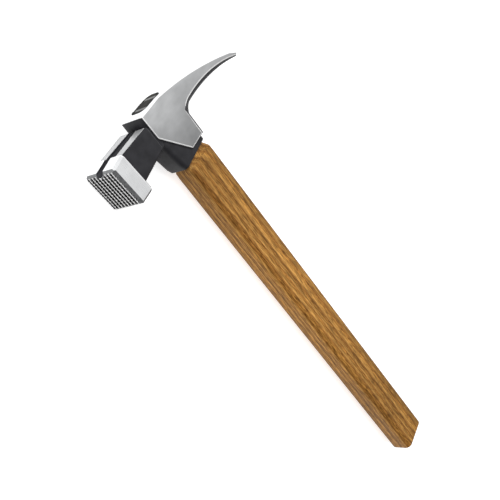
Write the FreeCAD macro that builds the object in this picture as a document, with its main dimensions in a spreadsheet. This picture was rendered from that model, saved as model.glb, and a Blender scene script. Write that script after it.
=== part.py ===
"""Wood-handled carpenter's hammer with a square milled face, a nail-starting groove and a ripping claw.

The hammer lies on its side, as it would on a bench. Each piece is modelled in the head's own frame:
+X towards the claw, +Y towards the crown, +Z across the head, with the handle's axis at X = 0,
the socket's mouth near Y = 0 and the head's middle plane at Z = 0. Placements then move every piece
to the part's frame, whose origin is under the middle of the hammer, on the bench.
"""

import FreeCAD, Part
import os
import re

import Sketcher
from FreeCAD import Placement, Rotation, Vector

doc = FreeCAD.newDocument("carpenters_hammer")

# ---------------------------------------------------------------------------------------------------
# Driving dimensions, in millimetres (angles in degrees)
# ---------------------------------------------------------------------------------------------------

SIZES = {
    # striking poll, in its own leaning frame
    "face_reach": 61.0, "face_size": 26.5, "face_half": 13.25, "face_lean": 2.14, "poll_depth": 13.5,
    "poll_top": 38.2, "poll_rise": 1.3, "poll_bevel": 1.5, "face_bevel": 2.0, "tooth_depth": 0.7,
    "tooth_clear": 0.3,
    "row_pitch": 2.0, "row_count": 13, "row_first": 1.25, "row_half": 0.6, "row_floor": 0.1,
    "column_pitch": 2.9, "column_count": 8, "column_first": 10.15, "column_half": 1.25, "column_floor": 0.75,
    # neck, nail groove and the slot for the nail's head
    "neck_half": 11.3, "neck_front": 49.0, "neck_top": 38.4, "neck_low_front": 16.8, "neck_low_rear": 20.9,
    "neck_round": 2.5, "neck_rear": 20.6, "neck_corner": 2.8, "link_front": 24.0, "link_rear": 17.0,
    "slot_front": 23.9, "slot_rear": 21.0, "slot_floor": 35.1, "slot_round": 3.5, "groove_radius": 2.8,
    "groove_axis": 38.4, "groove_mouth": 3.3, "groove_flare": 4.0, "relief_half": 3.7, "relief_depth": 1.0,
    "magnet_radius": 2.0, "magnet_length": 3.0, "magnet_reach": 39.0, "magnet_top": 35.9,
    # crown and cheeks: the ground flats stand out from the rolled flanks
    "crown_front": 19.2, "crown_top": 43.2, "crown_end": 0.0, "cheek_half": 9.7, "flank_half": 7.7,
    "edge_break": 0.5, "corner_high": 25.0, "flat_corner_high": 27.2,
    "cheek_low_x": 3.2, "cheek_low_y": 4.4, "flat_low_x": 2.0, "flat_low_y": 5.9,
    "back_reach": 14.2, "back_low": 5.4, "back_high": 20.2,
    "flat_back": 10.9, "flat_back_low": 6.7, "flat_back_high": 24.6,
    # claw
    "claw_shoulder": 72.0, "claw_shoulder_top": 24.8, "claw_top_radius": 296.0,
    "claw_reach": 79.2, "tip_top": 20.5, "tip_low_reach": 78.2, "tip_low": 18.0,
    "flat_tip_reach": 78.4, "flat_tip_low_reach": 77.2, "flat_tip_top": 20.4, "flat_tip_low": 19.5,
    "claw_root": 20.0, "claw_root_low": 24.9, "claw_low_radius": 138.0,
    "flat_root_low": 28.2, "flat_low_radius": 114.0, "crotch_radius": 10.0, "flat_crotch_radius": 22.0,
    "vee_root": 40.0, "vee_root_half": 1.6, "vee_root_round": 1.8, "vee_mouth": 82.0, "vee_mouth_half": 4.3,
    # socket around the handle, from inside the cheeks down to its slanting mouth
    "socket_half": 8.5, "socket_corner": 3.4, "socket_back": 11.9, "socket_high": 27.0,
    "socket_high_front": 18.9, "socket_waist": 12.0, "socket_waist_front": 17.8, "socket_low": 3.0,
    "socket_low_front": 16.2, "socket_end": 4.0, "socket_end_front": 13.2, "socket_end_back": 11.4,
    "socket_end_half": 8.2, "mouth_front": 20.0, "mouth_front_low": 0.9, "mouth_back": 15.0,
    "mouth_back_high": 3.8, "mouth_depth": 12.0,
    # eye through the head, longer and wider at the mouth than in the crown
    "eye_front": 12.9, "eye_back": 8.0, "eye_half": 6.9, "eye_corner": 5.0,
    "eye_low": 0.4, "eye_low_front": 12.8, "eye_low_back": 10.0, "eye_low_half": 7.0,
    # handle
    "handle_length": 297.9, "handle_front": 13.1, "handle_back": 13.2, "handle_half": 8.75,
    "handle_corner": 4.4, "handle_high": 7.4, "shoulder_high": 3.2, "shoulder_front": 13.0,
    "shoulder_back": 13.2, "shoulder_half": 8.4, "shoulder_corner": 4.2, "root_back": 12.4,
    "mouth_high": 3.2, "mouth_eye_front": 12.65, "mouth_eye_back": 9.7, "mouth_eye_half": 6.85,
    "butt_front": 13.4, "butt_back": 13.5, "butt_high": 296.7, "butt_break": 1.2, "butt_corner": 3.2,
    "tenon_sunk": 0.5, "tenon_gap": 0.05,
    # wedges driven into the tenon's end
    "wedge_half": 1.5, "wedge_tip_half": 0.3, "wedge_drive": 30.0,
    "steel_half": 1.1, "steel_tip_half": 0.2, "steel_drive": 20.0, "steel_width": 10.0,
    "steel_front_reach": 7.8, "steel_rear_reach": 3.0,
}

sheet = doc.addObject("Spreadsheet::Sheet", "dims")
for row, (alias, size) in enumerate(SIZES.items(), start=1):
    sheet.set(f"A{row}", alias)
    sheet.set(f"B{row}", str(size))
    sheet.setAlias(f"B{row}", alias)
doc.recompute()


def signed_words(text):
    return re.findall(r"([+-]?)([\w.]+)", text)


def number(text):
    """The value of a signed sum of aliases, such as '-face_reach+poll_depth'."""
    total = 0.0
    for sign, word in signed_words(text):
        term = SIZES[word] if word in SIZES else float(word)
        total += -term if sign == "-" else term
    return total


def minus(text):
    """The same sum with every sign turned round."""
    return "".join(("+" if sign == "-" else "-") + word for sign, word in signed_words(text)).lstrip("+")


def cells(text):
    """The same sum as an expression on the spreadsheet's cells."""
    return re.sub(r"[a-z_]{3,}", lambda found: "dims." + found.group(), text)


# ---------------------------------------------------------------------------------------------------
# Sketch and feature helpers
# ---------------------------------------------------------------------------------------------------

def new_body(name):
    body = doc.addObject("PartDesign::Body", name)
    body.Label = name
    return body


def new_sketch(body, name, plane, offset=""):
    """A sketch on one of the body's own origin planes, moved along the plane's normal by offset."""
    sketch = body.newObject("Sketcher::SketchObject", name)
    support = next(item for item in body.Origin.OriginFeatures if item.Role == plane)
    sketch.AttachmentSupport = [(support, "")]
    sketch.MapMode = "FlatFace"
    if offset:
        sketch.setExpression("AttachmentOffset.Base.z", cells(offset))
    return sketch


def bind(sketch, kind, terms, text):
    """Add a constraint whose value follows a sum of aliases."""
    index = sketch.addConstraint(Sketcher.Constraint(kind, *terms, number(text)))
    sketch.setExpression(f"Constraints[{index}]", cells(text))


def pin_edge(sketch, edge, places):
    """Fix both ends of an edge at pairs of sums of aliases. An arc may be stored end first."""
    start = Vector(number(places[0][0]), number(places[0][1]), 0)
    if (sketch.getPoint(edge, 1) - start).Length > 1e-6:
        places = places[::-1]
    for end, place in enumerate(places, start=1):
        bind(sketch, "DistanceX", (edge, end), place[0])
        bind(sketch, "DistanceY", (edge, end), place[1])


def outline(sketch, places, arcs=None):
    """A closed outline through places. arcs maps an edge's number to its radius and its side:
    +1 bulges to the left of the edge's direction, -1 to the right."""
    arcs = arcs or {}
    for step, place in enumerate(places):
        ends = [place, places[(step + 1) % len(places)]]
        start, finish = (Vector(number(x), number(y), 0) for x, y in ends)
        if step in arcs:
            radius, side = arcs[step]
            chord = finish - start
            rise = number(radius) - max(number(radius) ** 2 - chord.Length ** 2 / 4, 0) ** 0.5
            crest = Vector(-chord.y, chord.x, 0).normalize() * rise * side
            edge = sketch.addGeometry(Part.Arc(start, (start + finish) / 2 + crest, finish))
            pin_edge(sketch, edge, ends)
            bind(sketch, "Radius", (edge,), radius)
        else:
            edge = sketch.addGeometry(Part.LineSegment(start, finish))
            pin_edge(sketch, edge, ends)


def rounded_section(sketch, front, back, half, corner):
    """A rectangle with round corners, from front behind the sketch's Y axis to back before it."""
    near, far = f"{minus(front)}+{corner}", f"{back}-{corner}"
    low, high = f"{minus(half)}+{corner}", f"{half}-{corner}"
    places = [(near, minus(half)), (far, minus(half)), (back, low), (back, high),
              (far, half), (near, half), (minus(front), high), (minus(front), low)]
    outline(sketch, places, {edge: (corner, -1) for edge in (1, 3, 5, 7)})


def feature(body, kind, name, profile, **settings):
    """A PartDesign feature on a profile sketch."""
    item = body.newObject(f"PartDesign::{kind}", name)
    item.Profile = profile
    for key, setting in settings.items():
        setattr(item, key, setting)
    return item


def pad_both_ways(body, name, profile, length, kind="Pad"):
    """A pad or pocket that reaches equally far to both sides of its sketch."""
    item = feature(body, kind, name, profile, SideType="Symmetric")
    item.setExpression("Length", length)
    doc.recompute()
    return item


def loft(body, name, sections, kind="AdditiveLoft"):
    """A ruled loft through rounded sections across the handle's axis.

    Each section is (height along Y, front, back, half width, corner radius)."""
    sketches = []
    for step, (height, *section) in enumerate(sections):
        # the XZ plane's normal points along -Y
        sketch = new_sketch(body, f"{name}_section_{step}", "XZ_Plane", minus(height))
        rounded_section(sketch, *section)
        sketches.append(sketch)
    item = feature(body, kind, name, sketches[0], Sections=sketches[1:], Ruled=True)
    doc.recompute()
    return item


def edge_names(shape, wanted):
    """Names of the edges that a test accepts."""
    return [f"Edge{i}" for i, edge in enumerate(shape.Edges, start=1) if wanted(edge)]


def dress(body, kind, name, base, edges, size_property, size):
    """A chamfer or fillet on named edges of the base feature."""
    item = body.newObject(f"PartDesign::{kind}", name)
    item.Base = (base, edges)
    item.setExpression(size_property, cells(size))
    doc.recompute()
    return item


def spread(shape, axis):
    """How far a shape reaches along an axis."""
    box = shape.BoundBox
    return {"x": box.XLength, "y": box.YLength, "z": box.ZLength}[axis]


# ---------------------------------------------------------------------------------------------------
# The part's frame: the hammer lies on the side of its poll, over the origin
# ---------------------------------------------------------------------------------------------------

REST = {
    "x": "(dims.face_reach - dims.claw_reach) / 2",
    "y": "(dims.handle_length - dims.crown_top) / 2",
    "z": "dims.face_half",
}


def lay(item, x="0", y="0", z="0", turn=Rotation()):
    """Place a piece at a point of the head's frame, moved to the part's frame."""
    item.Placement = Placement(Vector(), turn)
    for axis, text in (("x", x), ("y", y), ("z", z)):
        item.setExpression(f"Placement.Base.{axis}", f"{REST[axis]} + {cells(text)}")


ALONG_X = Rotation(Vector(0, 1, 0), 90)
ALONG_Y = Rotation(Vector(1, 0, 0), -90)


# ---------------------------------------------------------------------------------------------------
# The forged head
# ---------------------------------------------------------------------------------------------------

def neck(body):
    """The bar between poll and crown: it ends in the slot for the nail's head, with round corners,
    and a narrower link joins it to the crown."""
    side = new_sketch(body, "neck_side", "XY_Plane")
    outline(side, [
        ("-neck_front", "neck_top"), ("-slot_front", "neck_top"), ("-slot_rear", "slot_floor"),
        ("-neck_rear", "slot_floor"), ("-neck_rear", "neck_low_rear"), ("-neck_front", "neck_low_front")],
        {1: ("slot_round", 1)})
    bar = pad_both_ways(body, "neck_bar", side, "2 * dims.neck_half")

    def underside(edge):
        return spread(edge, "x") > 20 and edge.CenterOfMass.y < number("neck_low_rear")

    dress(body, "Fillet", "neck_underside", bar, edge_names(bar.Shape, underside), "Radius", "neck_round")
    corners = new_sketch(body, "neck_corners", "XZ_Plane")
    for flip in (str, minus):
        outline(corners, [
            ("-neck_rear-neck_corner", flip("neck_half")), ("-neck_rear", flip("neck_half-neck_corner")),
            ("-neck_rear+tooth_clear", flip("neck_half-neck_corner")),
            ("-neck_rear+tooth_clear", flip("neck_half+tooth_clear")),
            ("-neck_rear-neck_corner", flip("neck_half+tooth_clear"))],
            {0: ("neck_corner", 1 if flip is str else -1)})
    pad_both_ways(body, "neck_ends", corners, "3 * dims.crown_top", "Pocket")
    link = new_sketch(body, "link_side", "XY_Plane")
    outline(link, [
        ("-link_front", "slot_floor"), ("-link_rear", "slot_floor"),
        ("-link_rear", "neck_low_rear"), ("-link_front", "neck_low_rear")])
    pad_both_ways(body, "link", link, "2 * dims.socket_half")


def head_side(sketch, flat):
    """Side view of crown, cheek and claw: the rolled flank, or the ground flat a little inside it."""
    if flat:
        outline(sketch, [
            ("-crown_front+edge_break", "crown_top-edge_break"), ("crown_end", "crown_top-edge_break"),
            ("claw_shoulder", "claw_shoulder_top-edge_break"), ("flat_tip_reach", "flat_tip_top"),
            ("flat_tip_low_reach", "flat_tip_low"), ("claw_root", "flat_root_low"),
            ("flat_back", "flat_back_high"), ("flat_back", "flat_back_low"), ("-flat_low_x", "flat_low_y"),
            ("-crown_front+edge_break", "flat_corner_high")],
            {1: ("claw_top_radius", 1), 4: ("flat_low_radius", -1), 5: ("flat_crotch_radius", -1)})
    else:
        outline(sketch, [
            ("-crown_front", "crown_top"), ("crown_end", "crown_top"),
            ("claw_shoulder", "claw_shoulder_top"), ("claw_reach", "tip_top"),
            ("tip_low_reach", "tip_low"), ("claw_root", "claw_root_low"),
            ("back_reach", "back_high"), ("back_reach", "back_low"), ("-cheek_low_x", "cheek_low_y"),
            ("-crown_front", "corner_high")],
            {1: ("claw_top_radius", 1), 4: ("claw_low_radius", -1), 5: ("crotch_radius", -1)})


def cheeks_and_claw(body):
    """The core of crown and claw, with a bevelled flank and a ground flat on both sides."""
    core_side = new_sketch(body, "core_side", "XY_Plane")
    head_side(core_side, flat=False)
    pad_both_ways(body, "core", core_side, "2 * dims.flank_half")
    flank = new_sketch(body, "flank_side", "XY_Plane", "flank_half")
    head_side(flank, flat=False)
    flat = new_sketch(body, "flat_side", "XY_Plane", "cheek_half")
    head_side(flat, flat=True)
    cheek = feature(body, "AdditiveLoft", "cheek", flank, Sections=[flat], Ruled=True)
    doc.recompute()
    other = body.newObject("PartDesign::Mirrored", "other_cheek")
    other.Originals = [cheek]
    middle = next(item for item in body.Origin.OriginFeatures if item.Role == "XY_Plane")
    other.MirrorPlane = (middle, [""])
    body.Tip = other
    doc.recompute()


def socket(body):
    """The sleeve around the handle, cut off along a slant at its mouth."""
    loft(body, "sleeve", [
        ("socket_high", "socket_high_front", "socket_back", "socket_half", "socket_corner"),
        ("socket_waist", "socket_waist_front", "socket_back", "socket_half", "socket_corner"),
        ("socket_low", "socket_low_front", "socket_back", "socket_half", "socket_corner"),
        ("-socket_end", "socket_end_front", "socket_end_back", "socket_end_half", "socket_corner")])
    below = new_sketch(body, "below_mouth", "XY_Plane")
    outline(below, [
        ("-mouth_front", "-mouth_front_low"), ("mouth_back", "mouth_back_high"),
        ("mouth_back", "-mouth_depth"), ("-mouth_front", "-mouth_depth")])
    pad_both_ways(body, "mouth_slant", below, "4 * dims.cheek_half", "Pocket")


def eye_section(top, gap=""):
    """The eye's two sections, or the tenon's, which are smaller by the gap all round."""
    less = f"-{gap}" if gap else ""
    return [
        ("-eye_low", "eye_low_front" + less, "eye_low_back" + less, "eye_low_half" + less, "eye_corner"),
        (top, "eye_front" + less, "eye_back" + less, "eye_half" + less, "eye_corner")]


def forging():
    body = new_body("forging")
    neck(body)
    cheeks_and_claw(body)
    socket(body)
    loft(body, "eye", eye_section("crown_top"), "SubtractiveLoft")
    vee = new_sketch(body, "claw_vee", "XZ_Plane")
    outline(vee, [
        ("vee_root", "-vee_root_half"), ("vee_mouth", "-vee_mouth_half"),
        ("vee_mouth", "vee_mouth_half"), ("vee_root", "vee_root_half")], {3: ("vee_root_round", -1)})
    pad_both_ways(body, "claw_slot", vee, "3 * dims.crown_top", "Pocket")
    lay(body)
    return body


def tooth_grooves(body, name, plane, first):
    """Equal grooves across the striking face, which leave pyramids between two sets."""
    half, floor, pitch, count = (f"{name}_{part}" for part in ("half", "floor", "pitch", "count"))
    vee = new_sketch(body, f"{name}_vee", plane)
    outline(vee, [("-tooth_clear", f"-{first}+{half}"), ("tooth_depth", f"-{first}+{floor}"),
                  ("tooth_depth", f"-{first}-{floor}"), ("-tooth_clear", f"-{first}-{half}")])
    cut = pad_both_ways(body, f"{name}_groove", vee, "3 * dims.face_size", "Pocket")
    pattern = body.newObject("PartDesign::LinearPattern", f"{name}_grooves")
    pattern.Originals = [cut]
    pattern.Direction = (vee, ["V_Axis"])
    pattern.Reversed = plane == "XY_Plane"
    pattern.setExpression("Occurrences", f"dims.{count}")
    pattern.setExpression("Length", f"dims.{pitch} * (dims.{count} - 1)")
    body.Tip = pattern
    doc.recompute()


def poll():
    """The square striking block, whose milled face leans a little towards the handle."""
    body = new_body("poll")
    side = new_sketch(body, "poll_side", "XY_Plane")
    outline(side, [
        ("0", "0"), ("poll_depth", "poll_rise"), ("poll_depth", "-face_size"), ("0", "-face_size")])
    block = pad_both_ways(body, "block", side, "dims.face_size")

    def on_face(edge):
        return edge.BoundBox.XMax < 0.01

    def long_or_back(edge):
        return edge.BoundBox.XMax > number("poll_depth-poll_bevel")

    rim = dress(body, "Chamfer", "face_rim", block, edge_names(block.Shape, on_face), "Size", "face_bevel")
    dress(body, "Chamfer", "block_edges", rim, edge_names(rim.Shape, long_or_back), "Size", "poll_bevel")
    tooth_grooves(body, "row", "XY_Plane", "row_first")
    tooth_grooves(body, "column", "XZ_Plane", "column_first")
    lay(body, "-face_reach", "poll_top", turn=Rotation(Vector(0, 0, 1), number("face_lean")))
    return body


def rod(kind, name, turn, place, **expressions):
    """A Part cylinder, cone or box, with its sizes bound to the sheet."""
    item = doc.addObject(f"Part::{kind}", name)
    for key, text in expressions.items():
        item.setExpression(key, cells(text))
    lay(item, *place, turn=turn)
    return item


def gather(name, items):
    joined = doc.addObject("Part::MultiFuse", name)
    joined.Shapes = items
    doc.recompute()
    return joined


def cut(name, base, tool):
    result = doc.addObject("Part::Cut", name)
    result.Base = base
    result.Tool = tool
    result.Refine = True
    doc.recompute()
    return result


def nail_groove():
    """The round-bottomed groove along poll and neck, flared at the face and straight-walled above its
    axis, with a shallow relief on the neck, and the magnet's seat."""
    start = "-face_reach-tooth_clear"
    run = rod("Cylinder", "groove_run", ALONG_X, (start, "groove_axis"),
              Radius="groove_radius", Height="face_reach-crown_front+tooth_clear")
    flare = rod("Cone", "groove_flare", ALONG_X, (start, "groove_axis"),
                Radius1="groove_mouth", Radius2="groove_radius", Height="groove_flare")
    walls = rod("Box", "groove_walls", Rotation(), (start, "groove_axis", "-groove_radius"),
                Length="poll_depth+2*tooth_clear", Width="groove_radius", Height="2*groove_radius")
    relief = rod("Box", "neck_relief", Rotation(),
                 ("-face_reach+poll_depth", "groove_axis-relief_depth", "-relief_half"),
                 Length="face_reach-poll_depth-crown_front", Width="groove_radius", Height="2*relief_half")
    seat = rod("Cylinder", "magnet_seat", ALONG_Y, ("-magnet_reach", "magnet_top-magnet_length"),
               Radius="magnet_radius", Height="magnet_length+groove_radius")
    return gather("groove_tool", [run, flare, walls, relief, seat])


# ---------------------------------------------------------------------------------------------------
# Handle, wedges and magnet
# ---------------------------------------------------------------------------------------------------

def handle_blank():
    """The handle before its tenon is slotted: chamfered butt, straight grip, a round shoulder that
    stays full for longer at the back, where the socket's mouth is higher, and the tenon."""
    body = new_body("handle_blank")
    root, tenon_end = eye_section("crown_top-tenon_sunk", "tenon_gap")
    height, front, _, half, corner = root
    loft(body, "stick", [
        ("-handle_length", "butt_front-butt_break", "butt_back-butt_break",
         "handle_half-butt_break", "butt_corner"),
        ("-butt_high", "butt_front", "butt_back", "handle_half", "handle_corner"),
        ("-handle_high", "handle_front", "handle_back", "handle_half", "handle_corner"),
        ("-shoulder_high", "shoulder_front", "shoulder_back", "shoulder_half", "shoulder_corner"),
        (height, front, "root_back", half, corner),
        ("mouth_high", "mouth_eye_front", "mouth_eye_back", "mouth_eye_half", "eye_corner"),
        tenon_end])
    lay(body)
    return body


def wood_wedge_blank():
    """A thin hardwood wedge along the eye, as long as the tenon's end."""
    body = new_body("wood_wedge_blank")
    side = new_sketch(body, "wedge_side", "YZ_Plane")
    outline(side, [
        ("crown_top-tenon_sunk", "-wedge_half"), ("crown_top-tenon_sunk", "wedge_half"),
        ("crown_top-wedge_drive", "wedge_tip_half"), ("crown_top-wedge_drive", "-wedge_tip_half")])
    blade = feature(body, "Pad", "wedge_blade", side, SideType="Two sides")
    blade.setExpression("Length", "dims.eye_back - dims.tenon_gap")
    blade.setExpression("Length2", "dims.eye_low_front - dims.tenon_gap")
    doc.recompute()
    lay(body)
    return body


def steel_wedge(name, place):
    """A steel wedge driven across the wooden one."""
    body = new_body(name)
    side = new_sketch(body, f"{name}_side", "XY_Plane")
    outline(side, [
        (f"{place}-steel_half", "crown_top-tenon_sunk"),
        (f"{place}-steel_tip_half", "crown_top-steel_drive"),
        (f"{place}+steel_tip_half", "crown_top-steel_drive"),
        (f"{place}+steel_half", "crown_top-tenon_sunk")])
    pad_both_ways(body, f"{name}_blade", side, "dims.steel_width")
    lay(body)
    return body


# ---------------------------------------------------------------------------------------------------
# Assembly
# ---------------------------------------------------------------------------------------------------

head = cut("hammer_head", gather("forging_and_poll", [forging(), poll()]), nail_groove())
wood_blank = wood_wedge_blank()
steel_front = steel_wedge("steel_wedge_front", "-steel_front_reach")
steel_rear = steel_wedge("steel_wedge_rear", "steel_rear_reach")
handle = cut("handle", handle_blank(), gather("wedge_tool", [wood_blank, steel_front, steel_rear]))
wood_wedge = cut("wood_wedge", wood_blank, gather("steel_tool", [steel_front, steel_rear]))
magnet = rod("Cylinder", "nail_magnet", ALONG_Y, ("-magnet_reach", "magnet_top-magnet_length"),
             Radius="magnet_radius", Height="magnet_length")
doc.recompute()

pieces = [head, handle, wood_wedge, steel_front, steel_rear, magnet]

failed = [item.Name for item in doc.Objects if {"Invalid", "Error"} & set(item.State)]
if failed:
    raise RuntimeError(f"features failed: {failed}")

os.makedirs("parts", exist_ok=True)
for piece in pieces:
    shape = piece.Shape
    if shape.isNull() or not shape.isValid():
        raise RuntimeError(f"{piece.Label} is not a valid shape")
    print(f"{piece.Label:18} {len(shape.Solids)} solid, {shape.Volume / 1000:8.2f} cm3")
    shape.exportStep(f"parts/{piece.Label}.step")
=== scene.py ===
"""Wood-handled carpenter's hammer with a milled face, a nail-starting groove and a ripping claw.

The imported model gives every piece's place. The forged head and the handle are rebuilt as merged
copies of their CAD meshes, so that edges can be broken and each ground, milled or enamelled area
can have its own finish. The wedges and the magnet keep their meshes and only get finishes.
Lengths are in metres in the scene and in millimetres in the settings and in the head's frame.
"""

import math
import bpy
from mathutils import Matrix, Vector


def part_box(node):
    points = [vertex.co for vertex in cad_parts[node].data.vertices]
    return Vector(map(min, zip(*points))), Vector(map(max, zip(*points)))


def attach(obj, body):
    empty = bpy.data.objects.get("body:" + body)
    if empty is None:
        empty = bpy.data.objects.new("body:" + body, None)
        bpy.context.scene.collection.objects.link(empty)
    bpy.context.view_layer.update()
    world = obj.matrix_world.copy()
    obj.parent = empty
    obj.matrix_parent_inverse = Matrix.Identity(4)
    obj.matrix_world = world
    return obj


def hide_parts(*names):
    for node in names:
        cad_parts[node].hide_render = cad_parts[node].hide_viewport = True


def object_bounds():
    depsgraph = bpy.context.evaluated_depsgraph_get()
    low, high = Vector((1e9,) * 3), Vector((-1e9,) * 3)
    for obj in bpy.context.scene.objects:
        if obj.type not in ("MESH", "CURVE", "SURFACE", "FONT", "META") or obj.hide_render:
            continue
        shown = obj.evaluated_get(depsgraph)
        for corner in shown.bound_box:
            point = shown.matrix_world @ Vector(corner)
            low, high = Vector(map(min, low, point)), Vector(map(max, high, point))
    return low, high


bl_info = {
    "name": "Carpenter's Hammer",
    "version": (1, 0, 0),
    "blender": (4, 5, 0),
    "location": "View3D > Sidebar > Hammer",
    "description": "Finishes a forged claw hammer with an ash handle and lights it on a pale floor",
    "category": "Object",
}

import bmesh
import bpy
from bpy.props import FloatProperty, FloatVectorProperty, PointerProperty
from mathutils import Matrix, Vector

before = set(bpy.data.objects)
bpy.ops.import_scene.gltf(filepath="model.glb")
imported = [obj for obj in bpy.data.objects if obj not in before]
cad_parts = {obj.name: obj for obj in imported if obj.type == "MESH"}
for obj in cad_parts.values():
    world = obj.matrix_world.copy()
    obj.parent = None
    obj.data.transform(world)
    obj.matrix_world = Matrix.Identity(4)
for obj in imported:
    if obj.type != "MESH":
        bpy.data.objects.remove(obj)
CAD_BOX = [list(corner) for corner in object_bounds()]
MM = 0.001

# ------------------------------------------------------------------------------------------------
# The head's own frame: +X towards the claw, +Y towards the crown, the middle plane at Z = 0.
# Places in it are in millimetres.
# ------------------------------------------------------------------------------------------------

HEAD_LOW, HEAD_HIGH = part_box("hammer_head")
HANDLE_LOW, HANDLE_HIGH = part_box("handle")
CLAW_REACH, CROWN_TOP = 79.2, 43.2
HEAD_ORIGIN = Vector((
    HEAD_HIGH.x - CLAW_REACH * MM,
    HEAD_HIGH.y - CROWN_TOP * MM,
    (HEAD_LOW.z + HEAD_HIGH.z) / 2,
))

# the poll: the top of its striking face, its lean, and the bevel and teeth of the face
POLL_TOP = Vector((-61.0, 38.2, 0.0))
POLL_LEAN = math.radians(2.14)
POLL_SIZE, POLL_DEPTH = 26.5, 13.5
FACE_BEVEL, TOP_BEVEL_SLOPE = 2.0, 1.1
TOOTH_DEPTH = 0.7
CUT_PITCH, CUT_COUNT, CUT_FLOOR_HALF = 2.9, 8, 0.75
CUTS = [(step - (CUT_COUNT - 1) / 2) * CUT_PITCH for step in range(CUT_COUNT)]

# just past the nail groove's mouth, and just short of the neck's top and end, the cheeks' flats,
# the crown, the claw's tips and its vee
GROOVE_REACH, GROOVE_FLARE_END = 3.4, 1.2
NECK_END, NECK_STRIP_HIGH = -19.0, 38.2
CHEEK_FLAT, CHEEK_LOW = 9.6, 5.0
CROWN_HIGH, CLAW_BACK_HIGH, CLAW_BACK_HALF = 42.0, 20.0, 9.8
CLAW_TIP = 77.0
VEE_START, VEE_HALF = 38.0, 4.6

# which edges are broken, how much of the handle's top is painted, and where the stage's parts are
SHARP_EDGE = math.radians(24)
SHORTEST_BROKEN = 0.9 * MM
PAINTED_END = 2 * MM
FLOOR_GAP = 0.2 * MM
LAMP_PLACE = Vector((-0.1, 0.8, 0.9))
CAMERA_PLACE = Vector((-0.299457, 0.290052, 0.352700))
CAMERA_AHEAD = Vector((0.56186434, -0.47440245, -0.67768044))


def in_head(place):
    """A scene point in the head's frame, in millimetres."""
    return (place - HEAD_ORIGIN) / MM


def lean(angle):
    """A turn about the hammer's sideways axis."""
    return Matrix.Rotation(angle, 3, "Z")


def in_poll(place):
    """A point of the head's frame in the leaning frame of the poll, from the top of its face."""
    return lean(-POLL_LEAN) @ (place - POLL_TOP)


# ------------------------------------------------------------------------------------------------
# Colours and nodes
# ------------------------------------------------------------------------------------------------

def linear(code):
    """An sRGB hex colour as linear red, green and blue."""
    parts = [int(code[i:i + 2], 16) / 255 for i in (0, 2, 4)]
    return [part / 12.92 if part <= 0.04045 else ((part + 0.055) / 1.055) ** 2.4 for part in parts]


def opaque(colour):
    return (*colour, 1.0)


def grey(level):
    return (level, level, level)


def toned(colour, factor):
    """A colour made darker or lighter."""
    return [part * factor for part in colour]


def add(tree, kind, values=None, links=None, stops=None, **settings):
    """Add a node with its settings, its sockets' values and links, and a colour ramp's stops."""
    item = tree.nodes.new(kind)
    for key, setting in settings.items():
        setattr(item, key, setting)
    for socket, value in (values or {}).items():
        item.inputs[socket].default_value = value
    for socket, source in (links or {}).items():
        tree.links.new(source, item.inputs[socket])
    if stops:
        elements = item.color_ramp.elements
        while len(elements) < len(stops):
            elements.new(1.0)
        for element, (place, colour) in zip(elements, stops):
            element.position = place
            element.color = opaque(colour) if len(colour) == 3 else colour
    return item


def new_material(name, shader_values):
    """A material with a Principled shader on its output."""
    material = bpy.data.materials.new(name)
    material.use_nodes = True
    tree = material.node_tree
    tree.nodes.clear()
    shader = add(tree, "ShaderNodeBsdfPrincipled", values=shader_values)
    add(tree, "ShaderNodeOutputMaterial", links={"Surface": shader.outputs["BSDF"]})
    return material, tree, shader


def pattern_space(tree, sizes_mm, turn=(0, 0, 0), start=(0, 0, 0)):
    """Object coordinates, divided so that one unit is the given size along each axis."""
    coordinates = add(tree, "ShaderNodeTexCoord")
    return add(
        tree, "ShaderNodeMapping",
        values={
            "Location": start,
            "Rotation": turn,
            "Scale": [0.0 if size == 0 else 1 / (size * MM) for size in sizes_mm],
        },
        links={"Vector": coordinates.outputs["Object"]},
    ).outputs["Vector"]


def height_between(tree, low, high):
    """How far up the hammer a point is, from 0 at low to 1 at high, along Y in metres."""
    coordinates = add(tree, "ShaderNodeTexCoord")
    place = add(
        tree, "ShaderNodeSeparateXYZ", links={"Vector": coordinates.outputs["Object"]})
    return add(
        tree, "ShaderNodeMapRange", values={"From Min": low, "From Max": high},
        links={"Value": place.outputs["Y"]},
    ).outputs["Result"]


def feed(tree, shader, **sockets):
    """Link node outputs to the shader's sockets."""
    for name, source in sockets.items():
        tree.links.new(source, shader.inputs[name.replace("_", " ")])


# ------------------------------------------------------------------------------------------------
# Finishes of the head
# ------------------------------------------------------------------------------------------------

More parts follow.
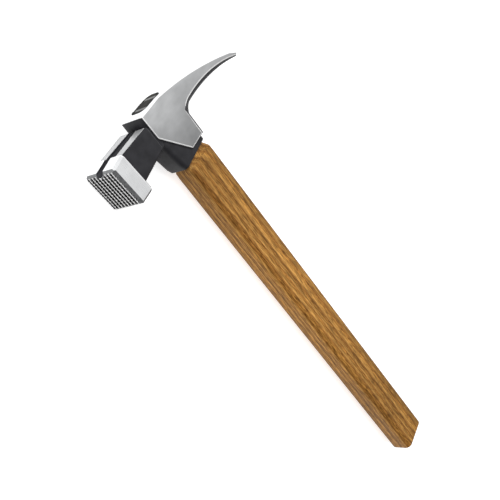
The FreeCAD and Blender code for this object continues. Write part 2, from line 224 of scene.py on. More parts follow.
def ground_steel(name, colour, lines_mm, roughness, depth=0.8, painted_light_fade=None):
    """Carbon steel, ground on a belt: straight fine lines and slow cloudy changes of tone.
    A real belt leaves lines under 0.1 mm apart, here about 0.25 mm so that they show.
    fade gives three heights in the head's frame and the tone at each: painted light, which makes a
    cheek brightest near the crown and darker towards the socket."""
    material, tree, shader = new_material(name, {"Metallic": 1.0})
    dark = toned(colour, depth)
    lines = add(
        tree, "ShaderNodeTexNoise",
        values={"Scale": 1.0, "Detail": 3.0, "Roughness": 0.6},
        links={"Vector": pattern_space(tree, lines_mm)},
    )
    clouds = add(
        tree, "ShaderNodeTexNoise",
        values={"Scale": 1.0, "Detail": 2.0, "Roughness": 0.5},
        links={"Vector": pattern_space(tree, (14, 9, 9))},
    )
    mixed = add(
        tree, "ShaderNodeMath", operation="MULTIPLY_ADD", values={1: 0.35},
        links={0: lines.outputs["Fac"], 2: clouds.outputs["Fac"]},
    )
    tone = add(
        tree, "ShaderNodeValToRGB", links={"Fac": mixed.outputs["Value"]},
        stops=[(0.45, dark), (0.85, colour)],
    )
    gloss = add(
        tree, "ShaderNodeMapRange",
        values={"From Min": 0.3, "From Max": 0.7,
                "To Min": roughness - 0.05, "To Max": roughness + 0.07},
        links={"Value": lines.outputs["Fac"]},
    )
    bump = add(
        tree, "ShaderNodeBump", values={"Strength": 0.12, "Distance": 0.02 * MM},
        links={"Height": lines.outputs["Fac"]},
    )
    finish = tone.outputs["Color"]
    # painted light: the cheek's tone darkens from the crown down towards the socket
    if painted_light_fade:
        (low, low_tone), (middle, middle_tone), (high, high_tone) = painted_light_fade
        height = height_between(tree, HEAD_ORIGIN.y + low * MM, HEAD_ORIGIN.y + high * MM)
        shade = add(
            tree, "ShaderNodeValToRGB", links={"Fac": height},
            stops=[(0.0, grey(low_tone)), ((middle - low) / (high - low), grey(middle_tone)),
                   (1.0, grey(high_tone))],
        )
        finish = add(
            tree, "ShaderNodeMix", data_type="RGBA", blend_type="MULTIPLY", values={"Factor": 1.0},
            links={"A": finish, "B": shade.outputs["Color"]},
        ).outputs["Result"]
    feed(tree, shader, Base_Color=finish, Roughness=gloss.outputs["Result"],
         Normal=bump.outputs["Normal"])
    return material


def edge_painted_highlight(settings):
    """Broken edges round the ground areas, coloured near-white as a painted highlight on real
    bevels:
    finely scratched steel that scatters light more than the flats beside it."""
    material, tree, shader = new_material("edge_painted_highlight_steel", {"Metallic": 0.35})
    scratches = add(
        tree, "ShaderNodeTexNoise", values={"Scale": 1.0, "Detail": 3.0},
        links={"Vector": pattern_space(tree, (0.6, 0.6, 0.6))},
    )
    tone = add(
        tree, "ShaderNodeValToRGB", links={"Fac": scratches.outputs["Fac"]},
        stops=[(0.3, toned(settings.edge, 0.85)), (0.7, settings.edge)],
    )
    gloss = add(
        tree, "ShaderNodeMapRange",
        values={"From Min": 0.3, "From Max": 0.7, "To Min": 0.4, "To Max": 0.55},
        links={"Value": scratches.outputs["Fac"]},
    )
    feed(tree, shader, Base_Color=tone.outputs["Color"], Roughness=gloss.outputs["Result"])
    return material


def black_enamel(settings):
    """Baked black enamel on forged steel: deep grey-black, half gloss, with the forging's slight
    unevenness and a fine orange peel showing through."""
    material, tree, shader = new_material(
        "black_baked_enamel", {"IOR": 1.5, "Specular IOR Level": 0.16})
    peel = add(
        tree, "ShaderNodeTexNoise", values={"Scale": 1.0, "Detail": 2.0},
        links={"Vector": pattern_space(tree, (0.8, 0.8, 0.8))},
    )
    forging = add(
        tree, "ShaderNodeTexNoise", values={"Scale": 1.0, "Detail": 3.0, "Roughness": 0.55},
        links={"Vector": pattern_space(tree, (7, 7, 7))},
    )
    tone = add(
        tree, "ShaderNodeValToRGB", links={"Fac": forging.outputs["Fac"]},
        stops=[(0.3, toned(settings.enamel, 0.75)), (0.7, toned(settings.enamel, 1.3))],
    )
    height = add(
        tree, "ShaderNodeMath", operation="MULTIPLY_ADD", values={1: 6.0},
        links={0: forging.outputs["Fac"], 2: peel.outputs["Fac"]},
    )
    bump = add(
        tree, "ShaderNodeBump", values={"Strength": 0.35, "Distance": 0.03 * MM},
        links={"Height": height.outputs["Value"]},
    )
    gloss = add(
        tree, "ShaderNodeMapRange",
        values={"From Min": 0.3, "From Max": 0.7, "To Min": 0.38, "To Max": 0.5},
        links={"Value": peel.outputs["Fac"]},
    )
    feed(tree, shader, Base_Color=tone.outputs["Color"], Roughness=gloss.outputs["Result"],
         Normal=bump.outputs["Normal"])
    return material


def cut_floors_painted_highlight(settings):
    """The floors of the cuts between the teeth, coloured near-white as a painted highlight, with
    fine marks across each cut that scatter the light."""
    material, tree, shader = new_material("cut_floor_painted_highlight", {"Metallic": 0.3})
    marks = add(
        tree, "ShaderNodeTexNoise", values={"Scale": 1.0, "Detail": 2.0},
        links={"Vector": pattern_space(tree, (0.3, 0.3, 1.5))},
    )
    tone = add(
        tree, "ShaderNodeValToRGB", links={"Fac": marks.outputs["Fac"]},
        stops=[(0.3, toned(settings.edge, 0.88)), (0.7, settings.edge)],
    )
    gloss = add(
        tree, "ShaderNodeMapRange",
        values={"From Min": 0.3, "From Max": 0.7, "To Min": 0.35, "To Max": 0.5},
        links={"Value": marks.outputs["Fac"]},
    )
    feed(tree, shader, Base_Color=tone.outputs["Color"], Roughness=gloss.outputs["Result"])
    return material


def teeth_painted_shade(settings):
    """Near-black painted shade on the teeth: dull, a little lighter in spots."""
    material, tree, shader = new_material(
        "teeth_painted_shade_black", {"IOR": 1.6, "Specular IOR Level": 0.12})
    rubbed = add(
        tree, "ShaderNodeTexNoise", values={"Scale": 1.0, "Detail": 3.0, "Roughness": 0.6},
        links={"Vector": pattern_space(tree, (0.7, 0.7, 0.7))},
    )
    tone = add(
        tree, "ShaderNodeValToRGB", links={"Fac": rubbed.outputs["Fac"]},
        stops=[(0.35, toned(settings.teeth_shade, 0.6)), (0.75, toned(settings.teeth_shade, 2.0))],
    )
    gloss = add(
        tree, "ShaderNodeMapRange",
        values={"From Min": 0.3, "From Max": 0.7, "To Min": 0.45, "To Max": 0.6},
        links={"Value": rubbed.outputs["Fac"]},
    )
    feed(tree, shader, Base_Color=tone.outputs["Color"], Roughness=gloss.outputs["Result"])
    return material


def face_rim(settings):
    """The bevel round the milled face: steel greyed by hardening, ground once and left matt."""
    material, tree, shader = new_material("hardened_rim_steel", {"Metallic": 0.55})
    clouds = add(
        tree, "ShaderNodeTexNoise", values={"Scale": 1.0, "Detail": 3.0, "Roughness": 0.6},
        links={"Vector": pattern_space(tree, (1.6, 1.6, 1.6))},
    )
    tone = add(
        tree, "ShaderNodeValToRGB", links={"Fac": clouds.outputs["Fac"]},
        stops=[(0.35, toned(settings.rim, 0.7)), (0.7, toned(settings.rim, 1.15))],
    )
    gloss = add(
        tree, "ShaderNodeMapRange",
        values={"From Min": 0.3, "From Max": 0.7, "To Min": 0.45, "To Max": 0.6},
        links={"Value": clouds.outputs["Fac"]},
    )
    feed(tree, shader, Base_Color=tone.outputs["Color"], Roughness=gloss.outputs["Result"])
    return material


def nickel_plate():
    """Nickel plating on the magnet: smooth, slightly warm, with faint handling marks."""
    material, tree, shader = new_material("bright_nickel_plate", {"Metallic": 1.0})
    marks = add(
        tree, "ShaderNodeTexNoise", values={"Scale": 1.0, "Detail": 4.0},
        links={"Vector": pattern_space(tree, (0.7, 0.7, 0.7))},
    )
    tone = add(
        tree, "ShaderNodeValToRGB", links={"Fac": marks.outputs["Fac"]},
        stops=[(0.35, linear("A9A59C")), (0.7, linear("C9C5BB"))],
    )
    gloss = add(
        tree, "ShaderNodeMapRange",
        values={"From Min": 0.3, "From Max": 0.7, "To Min": 0.15, "To Max": 0.28},
        links={"Value": marks.outputs["Fac"]},
    )
    feed(tree, shader, Base_Color=tone.outputs["Color"], Roughness=gloss.outputs["Result"])
    return material


# ------------------------------------------------------------------------------------------------
# Finishes of the handle and its wedges
# ------------------------------------------------------------------------------------------------

def growth_rings(tree, pith_mm, spacing_mm):
    """How far through a growth ring a point is, from 0 in the porous early wood to 1, and the
    ring's own number with its fraction. The rings are slightly wandering cylinders about a pith."""
    across = add(
        tree, "ShaderNodeMapping",
        values={"Location": (-pith_mm[0], 0, -pith_mm[1]), "Scale": (1 / MM, 0, 1 / MM)},
        links={"Vector": add(tree, "ShaderNodeTexCoord").outputs["Object"]},
    )
    radius = add(
        tree, "ShaderNodeVectorMath", operation="LENGTH", links={0: across.outputs["Vector"]},
    )
    wander = add(
        tree, "ShaderNodeTexNoise", values={"Scale": 1.0, "Detail": 2.0, "Roughness": 0.45},
        links={"Vector": pattern_space(tree, (9, 130, 9))},
    )
    count = add(
        tree, "ShaderNodeMath", operation="MULTIPLY_ADD", values={1: 2.6 / spacing_mm},
        links={0: wander.outputs["Fac"]},
    )
    rings = add(
        tree, "ShaderNodeMath", operation="DIVIDE", values={1: spacing_mm},
        links={0: radius.outputs["Value"]},
    )
    tree.links.new(rings.outputs["Value"], count.inputs[2])
    part = add(tree, "ShaderNodeMath", operation="FRACT", links={0: count.outputs["Value"]})
    return part.outputs["Value"], count.outputs["Value"]


def ash_wood(settings):
    """Oiled ash: ring-porous, so each ring starts with a band of open pores that show as fine dark
    dashes along the grain, then turns to smooth, paler late wood. Pores are 0.3 mm wide in the
    real wood and drawn 0.5 mm wide, so that they show."""
    material, tree, shader = new_material("oiled_ash", {"IOR": 1.47, "Specular IOR Level": 0.12})
    part, count = growth_rings(tree, settings.pith, settings.ring_spacing)
    ring = add(
        tree, "ShaderNodeValToRGB", links={"Fac": part},
        stops=[(0.0, settings.early), (0.22, settings.wood), (0.75, settings.late),
               (1.0, settings.early)],
    )
    # slow changes of tone from one group of rings to the next, as long streaks
    streak = add(
        tree, "ShaderNodeTexNoise", noise_dimensions="1D",
        values={"Scale": 0.55, "Detail": 3.0, "Roughness": 0.7}, links={"W": count},
    )
    streak_tone = add(
        tree, "ShaderNodeValToRGB", links={"Fac": streak.outputs["Fac"]},
        stops=[(0.32, grey(0.5)), (0.5, grey(0.92)), (0.7, grey(1.12))],
    )
    streaked = add(
        tree, "ShaderNodeMix", data_type="RGBA", blend_type="MULTIPLY", values={"Factor": 0.75},
        links={"A": ring.outputs["Color"], "B": streak_tone.outputs["Color"]},
    )
    pores = add(
        tree, "ShaderNodeTexNoise", values={"Scale": 1.0, "Detail": 2.0, "Roughness": 0.6},
        links={"Vector": pattern_space(tree, (0.5, 6, 0.5))},
    )
    fleck = add(
        tree, "ShaderNodeTexNoise", values={"Scale": 1.0, "Detail": 3.0, "Roughness": 0.65},
        links={"Vector": pattern_space(tree, (0.6, 9, 0.6), start=(3, 5, 7))},
    )
    open_pore = add(
        tree, "ShaderNodeMapRange",
        values={"From Min": 0.50, "From Max": 0.66, "To Min": 0.0, "To Max": 1.0},
        links={"Value": pores.outputs["Fac"]},
    )
    early_band = add(
        tree, "ShaderNodeMapRange",
        values={"From Min": 0.05, "From Max": 0.7, "To Min": 1.0, "To Max": 0.35},
        links={"Value": part},
    )
    pore_depth = add(
        tree, "ShaderNodeMath", operation="MULTIPLY",
        links={0: open_pore.outputs["Result"], 1: early_band.outputs["Result"]},
    )
    fleck_tone = add(
        tree, "ShaderNodeValToRGB", links={"Fac": fleck.outputs["Fac"]},
        stops=[(0.35, grey(0.36)), (0.5, grey(0.97)), (0.65, grey(1.65))],
    )
    flecked = add(
        tree, "ShaderNodeMix", data_type="RGBA", blend_type="MULTIPLY", values={"Factor": 0.85},
        links={"A": streaked.outputs["Result"], "B": fleck_tone.outputs["Color"]},
    )
    # the wood is made darker just below the head and low on the handle, lighter between
    along = height_between(tree, HANDLE_LOW.y, HEAD_ORIGIN.y)
    length_tone = add(
        tree, "ShaderNodeValToRGB", links={"Fac": along},
        stops=[(0.0, grey(0.9)), (0.16, grey(0.8)), (0.48, grey(1.0)), (0.72, grey(0.98)),
               (0.97, grey(0.72))],
    )
    length_toned = add(
        tree, "ShaderNodeMix", data_type="RGBA", blend_type="MULTIPLY", values={"Factor": 1.0},
        links={"A": flecked.outputs["Result"], "B": length_tone.outputs["Color"]},
    )
    colour = add(
        tree, "ShaderNodeMix", data_type="RGBA", values={"B": opaque(settings.pore)},
        links={"Factor": pore_depth.outputs["Value"], "A": length_toned.outputs["Result"]},
    )
    bump = add(
        tree, "ShaderNodeBump", invert=True, values={"Strength": 0.5, "Distance": 0.08 * MM},
        links={"Height": pore_depth.outputs["Value"]},
    )
    gloss = add(
        tree, "ShaderNodeMapRange",
        values={"From Min": 0.3, "From Max": 0.7, "To Min": 0.4, "To Max": 0.55},
        links={"Value": fleck.outputs["Fac"]},
    )
    feed(tree, shader, Base_Color=colour.outputs["Result"], Roughness=gloss.outputs["Result"],
         Normal=bump.outputs["Normal"])
    return material


def sealing_paint(name, colour, ring_spacing):
    """Dark grey sealing paint brushed over end grain: the rings and pores still show through it."""
    material, tree, shader = new_material(name, {"IOR": 1.5, "Specular IOR Level": 0.1})
    grain = add(
        tree, "ShaderNodeTexWave", wave_type="BANDS", bands_direction="X",
        values={"Scale": 0.31, "Distortion": 2.5, "Detail": 2.0, "Detail Scale": 1.5},
        links={"Vector": pattern_space(tree, (ring_spacing, 20, 4))},
    )
    dabs = add(
        tree, "ShaderNodeTexNoise", values={"Scale": 1.0, "Detail": 4.0, "Roughness": 0.6},
        links={"Vector": pattern_space(tree, (0.8, 3, 0.8))},
    )
    height = add(
        tree, "ShaderNodeMath", operation="MULTIPLY_ADD", values={1: 0.6},
        links={0: grain.outputs["Fac"], 2: dabs.outputs["Fac"]},
    )
    tone = add(
        tree, "ShaderNodeValToRGB", links={"Fac": height.outputs["Value"]},
        stops=[(0.35, toned(colour, 0.7)), (1.0, toned(colour, 1.25))],
    )
    bump = add(
        tree, "ShaderNodeBump", values={"Strength": 0.4, "Distance": 0.05 * MM},
        links={"Height": height.outputs["Value"]},
    )
    gloss = add(
        tree, "ShaderNodeMapRange",
        values={"From Min": 0.3, "From Max": 0.7, "To Min": 0.75, "To Max": 0.9},
        links={"Value": dabs.outputs["Fac"]},
    )
    feed(tree, shader, Base_Color=tone.outputs["Color"], Roughness=gloss.outputs["Result"],
         Normal=bump.outputs["Normal"])
    return material


def wedge_steel():
    """Mild steel wedge, cut from strip and hammered in: dull grey, with a bruised, brushed end."""
    material, tree, shader = new_material("hammered_wedge_steel", {"Metallic": 0.5})
    dents = add(
        tree, "ShaderNodeTexNoise", values={"Scale": 1.0, "Detail": 3.0},
        links={"Vector": pattern_space(tree, (0.9, 2.0, 0.9))},
    )
    tone = add(
        tree, "ShaderNodeValToRGB", links={"Fac": dents.outputs["Fac"]},
        stops=[(0.3, linear("2C2C2B")), (0.7, linear("4E4E4C"))],
    )
    bump = add(
        tree, "ShaderNodeBump", values={"Strength": 0.5, "Distance": 0.08 * MM},
        links={"Height": dents.outputs["Fac"]},
    )
    gloss = add(
        tree, "ShaderNodeMapRange",
        values={"From Min": 0.3, "From Max": 0.7, "To Min": 0.35, "To Max": 0.5},
        links={"Value": dents.outputs["Fac"]},
    )
    feed(tree, shader, Base_Color=tone.outputs["Color"], Roughness=gloss.outputs["Result"],
         Normal=bump.outputs["Normal"])
    return material


# ------------------------------------------------------------------------------------------------
# Meshes
# ------------------------------------------------------------------------------------------------

def merged_copy(node):
    """A CAD node's mesh with its doubles merged and its flat areas joined to single faces."""
    mesh = bmesh.new()
    mesh.from_mesh(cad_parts[node].data)
    bmesh.ops.remove_doubles(mesh, verts=mesh.verts, dist=0.002 * MM)
    bmesh.ops.dissolve_degenerate(mesh, edges=mesh.edges, dist=0.001 * MM)
    bmesh.ops.dissolve_limit(
        mesh, angle_limit=math.radians(0.3), use_dissolve_boundaries=False,
        verts=mesh.verts, edges=mesh.edges, delimit={"NORMAL"})
    for face in mesh.faces:
        face.material_index = 0
    return mesh


def split(mesh, faces, place, normal):
    """Cut some of a mesh's faces along a plane."""
    edges = dict.fromkeys(edge for face in faces for edge in face.edges)
    verts = dict.fromkeys(vert for face in faces for vert in face.verts)
    bmesh.ops.bisect_plane(
        mesh, geom=[*verts, *edges, *faces], dist=0.001 * MM, plane_co=place, plane_no=normal)


def split_poll(mesh):
    """Cut the head's mesh where its finishes change without an edge: at the back of the poll, and
    along both sides of each upright cut's floor."""
    outwards = lean(POLL_LEAN) @ Vector((-1, 0, 0))
    poll_back = POLL_TOP - POLL_DEPTH * outwards
    split(mesh, mesh.faces, HEAD_ORIGIN + poll_back * MM, -outwards)
    for middle in CUTS:
        for side in (-CUT_FLOOR_HALF, CUT_FLOOR_HALF):
            mesh.normal_update()
            floors = [face for face in mesh.faces if is_tooth_floor(face, outwards)]
            place = HEAD_ORIGIN + Vector((0, 0, middle + side)) * MM
            split(mesh, floors, place, Vector((0, 0, 1)))
    mesh.normal_update()


def is_tooth_floor(face, outwards):
    """Whether a face lies in the plane at the bottom of the cuts between the teeth."""
    place = in_poll(in_head(face.calc_center_median()))
    return abs(place.x - TOOTH_DEPTH) < 0.02 and face.normal.dot(outwards) > 0.99


def new_piece(name, mesh, materials, sharp_degrees):
    """Turn a bmesh into an object with smooth faces and sharp edges above an angle."""
    limit = math.radians(sharp_degrees)
    for face in mesh.faces:
        face.smooth = True
    for edge in mesh.edges:
        edge.smooth = len(edge.link_faces) == 2 and edge.calc_face_angle(0.0) < limit
    data = bpy.data.meshes.new(name)
    mesh.to_mesh(data)
    mesh.free()
    for material in materials:
        data.materials.append(material)
    piece = bpy.data.objects.new(name, data)
    bpy.context.scene.collection.objects.link(piece)
    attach(piece, "root")
    return piece


def give_material(node, material):
    """Put a finish on a carried-over CAD node."""
    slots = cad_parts[node].data.materials
    slots.clear()
    slots.append(material)


# ------------------------------------------------------------------------------------------------
# Which finish goes where on the head
# ------------------------------------------------------------------------------------------------

FINISHES = ("enamel", "satin", "bright", "teeth", "floor", "rim", "strip", "highlight_edge")
GROUND = {"satin", "bright", "strip"}
MILLED = {"teeth", "floor", "rim"}


def on_face_bevel(place):
    """Whether a point of the poll's frame lies on the bevel round its face."""
    top = place.y + FACE_BEVEL - TOP_BEVEL_SLOPE * place.x
    foot = place.y + POLL_SIZE - FACE_BEVEL + place.x
    side = abs(place.z) - POLL_SIZE / 2 + FACE_BEVEL - place.x
    return min(abs(top), abs(foot), abs(side)) < 0.05


def poll_finish(place, normal):
    """The finish of a face on the poll, from its place and normal in the poll's leaning frame."""
    in_groove = abs(place.z) < GROOVE_REACH and place.y > -GROOVE_REACH
    faces_groove = normal.y < 0.97 and (abs(normal.x) < 0.5 or place.x > GROOVE_FLARE_END)
    if in_groove and faces_groove:
        return "enamel"
    if place.x < FACE_BEVEL and normal.x < -0.3 and on_face_bevel(place):
        return "rim"
    if place.x < TOOTH_DEPTH + 0.1:
        in_cut = min(abs(place.z - middle) for middle in CUTS) < CUT_FLOOR_HALF
        return "floor" if in_cut and normal.x < -0.95 and place.x > TOOTH_DEPTH / 2 else "teeth"
    return "enamel" if normal.x > 0.3 or normal.y < -0.3 else "bright"


def head_finish(place, normal):
    """The finish of a face of the head, from its place and normal in the head's frame."""
    in_block = in_poll(place)
    if in_block.x < POLL_DEPTH + 0.1:
        return poll_finish(in_block, lean(-POLL_LEAN) @ normal)
    if place.x < NECK_END:
        return "strip" if normal.y > 0.9 and place.y > NECK_STRIP_HIGH else "enamel"
    on_cheek = abs(place.z) > CHEEK_FLAT and abs(normal.z) > 0.95 and place.y > CHEEK_LOW
    on_top = normal.y > 0.8 and place.y > CLAW_BACK_HIGH and abs(place.z) < CLAW_BACK_HALF
    on_tip = place.x > CLAW_TIP and normal.x > 0.2
    in_vee = place.x > VEE_START and abs(place.z) < VEE_HALF and abs(normal.y) < 0.3
    if not on_cheek and on_top and (place.x > 0 or place.y > CROWN_HIGH):
        return "bright"
    return "satin" if on_cheek or on_tip or in_vee else "enamel"


def break_edges(mesh, wanted, size_mm, material_index):
    """Bevel the sharp edges that a test accepts."""
    edges = [
        edge for edge in mesh.edges
        if len(edge.link_faces) == 2
        and edge.calc_face_angle(0.0) > SHARP_EDGE and wanted(edge)]
    bmesh.ops.bevel(
        mesh, geom=edges, offset=size_mm * MM, offset_type="OFFSET", affect="EDGES", segments=2,
        profile=0.5, material=material_index, clamp_overlap=False, loop_slide=True)


# ------------------------------------------------------------------------------------------------
# Settings
# ------------------------------------------------------------------------------------------------

class HAMMER_PG_head(bpy.types.PropertyGroup):
    enamel: FloatVectorProperty(
        name="Enamel", description="Colour of the black baked enamel", subtype="COLOR", size=3,
        min=0.0, max=1.0, default=linear("27272A"))
    satin: FloatVectorProperty(
        name="Cheek steel", description="Colour of the belt-ground cheeks", subtype="COLOR", size=3,
        min=0.0, max=1.0, default=linear("C4C5C6"))
    bright: FloatVectorProperty(
        name="Poll steel", description="Colour of the finely ground poll and crown",
        subtype="COLOR", size=3, min=0.0, max=1.0, default=linear("E4E5E6"))
    rim: FloatVectorProperty(
        name="Face rim", description="Colour of the bevel round the milled face", subtype="COLOR",
        size=3, min=0.0, max=1.0, default=linear("777879"))
    # near-black painted shade on the teeth, for their faces turned from the light
    teeth_shade: FloatVectorProperty(
        name="Teeth shade", description="Colour of the black oxide on the teeth", subtype="COLOR",
        size=3, min=0.0, max=1.0, default=linear("0C0C0D"))
    strip: FloatVectorProperty(
        name="Neck top", description="Colour of the ground strips beside the nail groove",
        subtype="COLOR", size=3, min=0.0, max=1.0, default=linear("AEAFB0"))
    # near-white painted highlight, used on the broken edges and on the cut floors between the teeth
    edge: FloatVectorProperty(
        name="Painted highlight", description="Colour of the bright broken edges",
        subtype="COLOR", size=3, min=0.0, max=1.0, default=linear("F2F2F2"))
    edge_break: FloatProperty(
        name="Edge break", description="Width of the broken edges round the ground areas, in mm",
        default=0.4, min=0.05, max=0.8)
    forged_round: FloatProperty(
        name="Forged round", description="Rounding of the enamelled edges, in mm",
        default=0.45, min=0.05, max=1.0)


class HAMMER_PG_handle(bpy.types.PropertyGroup):
    wood: FloatVectorProperty(
        name="Wood", description="Main colour of the oiled ash", subtype="COLOR", size=3,
        min=0.0, max=1.0, default=linear("B07C3A"))
    late: FloatVectorProperty(
        name="Late wood", description="Colour of the smooth part of each ring",
        subtype="COLOR", size=3, min=0.0, max=1.0, default=linear("C08E4A"))
    early: FloatVectorProperty(
        name="Early wood", description="Colour of the porous part of each ring",
        subtype="COLOR", size=3, min=0.0, max=1.0, default=linear("8F5F2B"))
    pore: FloatVectorProperty(
        name="Pores", description="Colour inside the open pores", subtype="COLOR", size=3,
        min=0.0, max=1.0, default=linear("56340F"))
    ring_spacing: FloatProperty(
        name="Ring spacing", description="Width of one growth ring, in mm",
        default=2.4, min=0.8, max=6.0)
    pith: FloatVectorProperty(
        name="Pith", description="Where the tree's centre line lies across the handle, in mm",
        size=2, default=(24.0, -46.0))


class HAMMER_PG_eye(bpy.types.PropertyGroup):
    paint: FloatVectorProperty(
        name="Sealing paint", description="Colour of the paint on the tenon's end", subtype="COLOR",
        size=3, min=0.0, max=1.0, default=linear("222221"))
    wedge_paint: FloatVectorProperty(
        name="Wedge paint", description="Colour of the painted end of the wooden wedge",
        subtype="COLOR", size=3, min=0.0, max=1.0, default=linear("2B2A28"))


class HAMMER_PG_stage(bpy.types.PropertyGroup):
    floor: FloatVectorProperty(
        name="Floor", description="Colour of the pale floor", subtype="COLOR", size=3,
        min=0.0, max=1.0, default=linear("D2D2D2"))
    glow: FloatProperty(
        name="Floor glow", description="How far the floor is lit from below, which softens shadows",
        default=0.75, min=0.0, max=2.0)
    lens: FloatProperty(
        name="Lens", description="Focal length, in mm", default=54.945, min=20, max=200)
    roll: FloatProperty(
        name="Camera roll", description="Turn of the camera about its line of sight",
        subtype="ANGLE", unit="ROTATION", default=math.radians(81.45))


# ------------------------------------------------------------------------------------------------
# The stage
# ------------------------------------------------------------------------------------------------

def make_floor(scene, settings):
    """A pale floor just under the hammer, lit a little from below so that shadows stay soft."""
    mesh = bmesh.new()
    bmesh.ops.create_grid(mesh, x_segments=2, y_segments=2, size=3.0)
    bmesh.ops.translate(mesh, verts=mesh.verts, vec=(0, 0, CAD_BOX[0][2] - FLOOR_GAP))
    data = bpy.data.meshes.new("floor")
    mesh.to_mesh(data)
    mesh.free()
    material, _, _ = new_material(
        "matt_white_floor",
        {"Base Color": opaque(settings.floor), "Roughness": 0.9,
         "Emission Color": (1.0, 1.0, 1.0, 1.0), "Emission Strength": settings.glow})
    data.materials.append(material)
    floor = bpy.data.objects.new("floor", data)
    scene.collection.objects.link(floor)


def make_sky(scene):
    """Soft light from above, beyond the crown and the claw, fading to nearly nothing opposite."""
    world = bpy.data.worlds.new("studio")
    world.use_nodes = True
    tree = world.node_tree
    tree.nodes.clear()
    direction = add(tree, "ShaderNodeTexCoord")
    rise = add(
        tree, "ShaderNodeVectorMath", operation="DOT_PRODUCT", values={1: (0.5, 0.55, 0.67)},
        links={0: direction.outputs["Generated"]},
    )
    height = add(
        tree, "ShaderNodeMapRange", values={"From Min": -1.0, "From Max": 1.0},
        links={"Value": rise.outputs["Value"]},
    )
    sky = add(
        tree, "ShaderNodeValToRGB", links={"Fac": height.outputs["Result"]},
        stops=[(0.36, grey(0.05)), (0.58, grey(0.35)), (0.72, grey(0.95)), (0.9, grey(1.05))],
    )
    light = add(
        tree, "ShaderNodeBackground", values={"Strength": 0.95},
        links={"Color": sky.outputs["Color"]},
    )
    add(tree, "ShaderNodeOutputWorld", links={"Surface": light.outputs["Background"]})
    scene.world = world


def make_lamp(scene):
    """One round lamp above the hammer and beyond its crown, which gives the highlights."""
    lamp = bpy.data.lights.new("key", "AREA")
    lamp.shape = "DISK"
    lamp.size = 0.9
    lamp.energy = 9.0
    stand = bpy.data.objects.new("key", lamp)
    stand.location = LAMP_PLACE
    stand.rotation_euler = (-LAMP_PLACE).to_track_quat("-Z", "Y").to_euler()
    scene.collection.objects.link(stand)


def make_camera(scene, settings):
    """The camera, above and off the striking face's side, rolled so that the head is at the upper
    left and the handle slants down to the right."""
    view = bpy.data.cameras.new("camera")
    view.lens = settings.lens
    view.sensor_width = 36.0
    view.clip_start = 0.02
    camera = bpy.data.objects.new("camera", view)
    ahead = CAMERA_AHEAD.normalized()
    level = ahead.cross(Vector((0, 0, 1))).normalized()
    over = level.cross(ahead)
    right = math.cos(settings.roll) * level + math.sin(settings.roll) * over
    up = right.cross(ahead)
    axes = Matrix((right, up, -ahead)).transposed().to_4x4()
    camera.matrix_world = Matrix.Translation(CAMERA_PLACE) @ axes
    scene.collection.objects.link(camera)
    scene.camera = camera


# ------------------------------------------------------------------------------------------------
# Operators
# ------------------------------------------------------------------------------------------------

class HAMMER_OT_head(bpy.types.Operator):
    """Build the forged head with its ground, milled and enamelled areas"""
    bl_idname = "hammer.head"
    bl_label = "Forged Head"

    def execute(self, context):
        settings = context.scene.hammer_head
        mesh = merged_copy("hammer_head")
        split_poll(mesh)
        for face in mesh.faces:
            finish = head_finish(in_head(face.calc_center_median()), face.normal)
            face.material_index = FINISHES.index(finish)

        def finishes(part):
            return {FINISHES[face.material_index] for face in part.link_faces}

        def clear_of_teeth(edge):
            start, end = edge.verts
            around = finishes(start) | finishes(end)
            return not around & MILLED and edge.calc_length() > SHORTEST_BROKEN

        def ground_edge(edge):
            return finishes(edge) & GROUND and clear_of_teeth(edge)

        def forged_edge(edge):
            return finishes(edge) == {"enamel"} and clear_of_teeth(edge)

        # the ground areas' broken edges are bevelled and coloured with the near-white painted
        # highlight
        break_edges(mesh, ground_edge, settings.edge_break, FINISHES.index("highlight_edge"))
        break_edges(mesh, forged_edge, settings.forged_round, -1)
        bmesh.ops.remove_doubles(mesh, verts=mesh.verts, dist=0.003 * MM)
        bmesh.ops.dissolve_degenerate(mesh, edges=mesh.edges, dist=0.002 * MM)
        materials = [
            black_enamel(settings),
            # the cheeks carry painted light, brightest near the crown and darker towards the socket
            ground_steel(
                "satin_ground_steel", settings.satin, (6, 0.25, 6), 0.34,
                painted_light_fade=((6, 0.62), (24, 0.85), (43, 1.0))),
            ground_steel("fine_ground_steel", settings.bright, (0.25, 5, 5), 0.3, depth=0.88),
            # the teeth carry near-black painted shade
            teeth_painted_shade(settings),
            # the cut floors carry a near-white painted highlight
            cut_floors_painted_highlight(settings),
            face_rim(settings),
            ground_steel("neck_top_steel", settings.strip, (6, 0.4, 0.4), 0.4, depth=0.85),
            edge_painted_highlight(settings),
        ]
        head = new_piece("forged_head", mesh, materials, 22)
        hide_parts("hammer_head")
        give_material("nail_magnet", nickel_plate())
        return {"FINISHED"}


class HAMMER_OT_handle(bpy.types.Operator):
    """Build the ash handle with its painted tenon end"""
    bl_idname = "hammer.handle"
    bl_label = "Ash Handle"

    def execute(self, context):
        settings = context.scene.hammer_handle
        mesh = merged_copy("handle")
        mesh.normal_update()
        painted = HANDLE_HIGH.y - PAINTED_END
        split(mesh, mesh.faces, Vector((0, painted, 0)), Vector((0, 1, 0)))
        for face in mesh.faces:
            if face.calc_center_median().y > painted:
                face.material_index = 1
        materials = [
            ash_wood(settings),
            sealing_paint(
                "grey_sealing_paint", context.scene.hammer_eye.paint, settings.ring_spacing),
        ]
        handle = new_piece("ash_handle", mesh, materials, 28)
        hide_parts("handle")
        return {"FINISHED"}


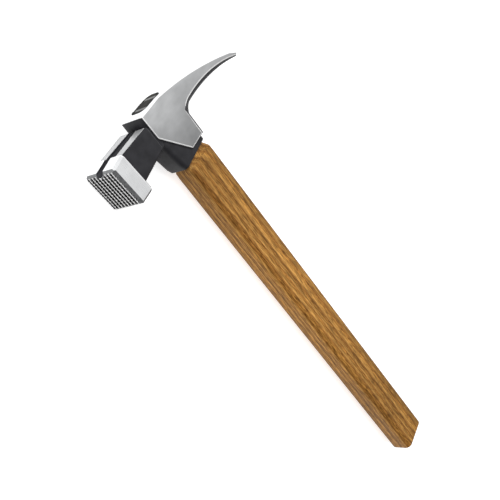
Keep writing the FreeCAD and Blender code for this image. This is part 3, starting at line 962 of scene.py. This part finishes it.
class HAMMER_OT_eye(bpy.types.Operator):
    """Give the wooden wedge and the two steel wedges their finishes"""
    bl_idname = "hammer.eye"
    bl_label = "Wedges"

    def execute(self, context):
        paint = context.scene.hammer_eye.wedge_paint
        give_material("wood_wedge", sealing_paint("painted_wedge_wood", paint, 1.2))
        steel = wedge_steel()
        give_material("steel_wedge_front", steel)
        give_material("steel_wedge_rear", steel)
        return {"FINISHED"}


class HAMMER_OT_stage(bpy.types.Operator):
    """Make the pale floor, the soft light and the camera"""
    bl_idname = "hammer.stage"
    bl_label = "Stage"

    def execute(self, context):
        settings = context.scene.hammer_stage
        context.scene.view_settings.view_transform = "Standard"
        make_floor(context.scene, settings)
        make_sky(context.scene)
        make_lamp(context.scene)
        make_camera(context.scene, settings)
        return {"FINISHED"}


class HAMMER_PT_panel(bpy.types.Panel):
    """Sizes and colours of the hammer, and the steps that make it"""
    bl_label = "Carpenter's Hammer"
    bl_idname = "HAMMER_PT_panel"
    bl_space_type = "VIEW_3D"
    bl_region_type = "UI"
    bl_category = "Hammer"

    def draw(self, context):
        for operator, group in STEPS:
            box = self.layout.box()
            settings = getattr(context.scene, group)
            for key in settings.__annotations__:
                box.prop(settings, key)
            box.operator(operator)


GROUPS = {
    "hammer_head": HAMMER_PG_head, "hammer_handle": HAMMER_PG_handle,
    "hammer_eye": HAMMER_PG_eye, "hammer_stage": HAMMER_PG_stage}
STEPS = (
    ("hammer.head", "hammer_head"), ("hammer.handle", "hammer_handle"),
    ("hammer.eye", "hammer_eye"), ("hammer.stage", "hammer_stage"))
CLASSES = (
    *GROUPS.values(), HAMMER_OT_head, HAMMER_OT_handle, HAMMER_OT_eye, HAMMER_OT_stage,
    HAMMER_PT_panel)


def register():
    for item in CLASSES:
        bpy.utils.register_class(item)
    for name, group in GROUPS.items():
        setattr(bpy.types.Scene, name, PointerProperty(type=group))


def unregister():
    for name in GROUPS:
        delattr(bpy.types.Scene, name)
    for item in reversed(CLASSES):
        bpy.utils.unregister_class(item)


def main():
    """Make the hammer and its stage."""
    register()
    bpy.ops.hammer.head()
    bpy.ops.hammer.handle()
    bpy.ops.hammer.eye()
    bpy.ops.hammer.stage()


if __name__ == "__main__":
    main()
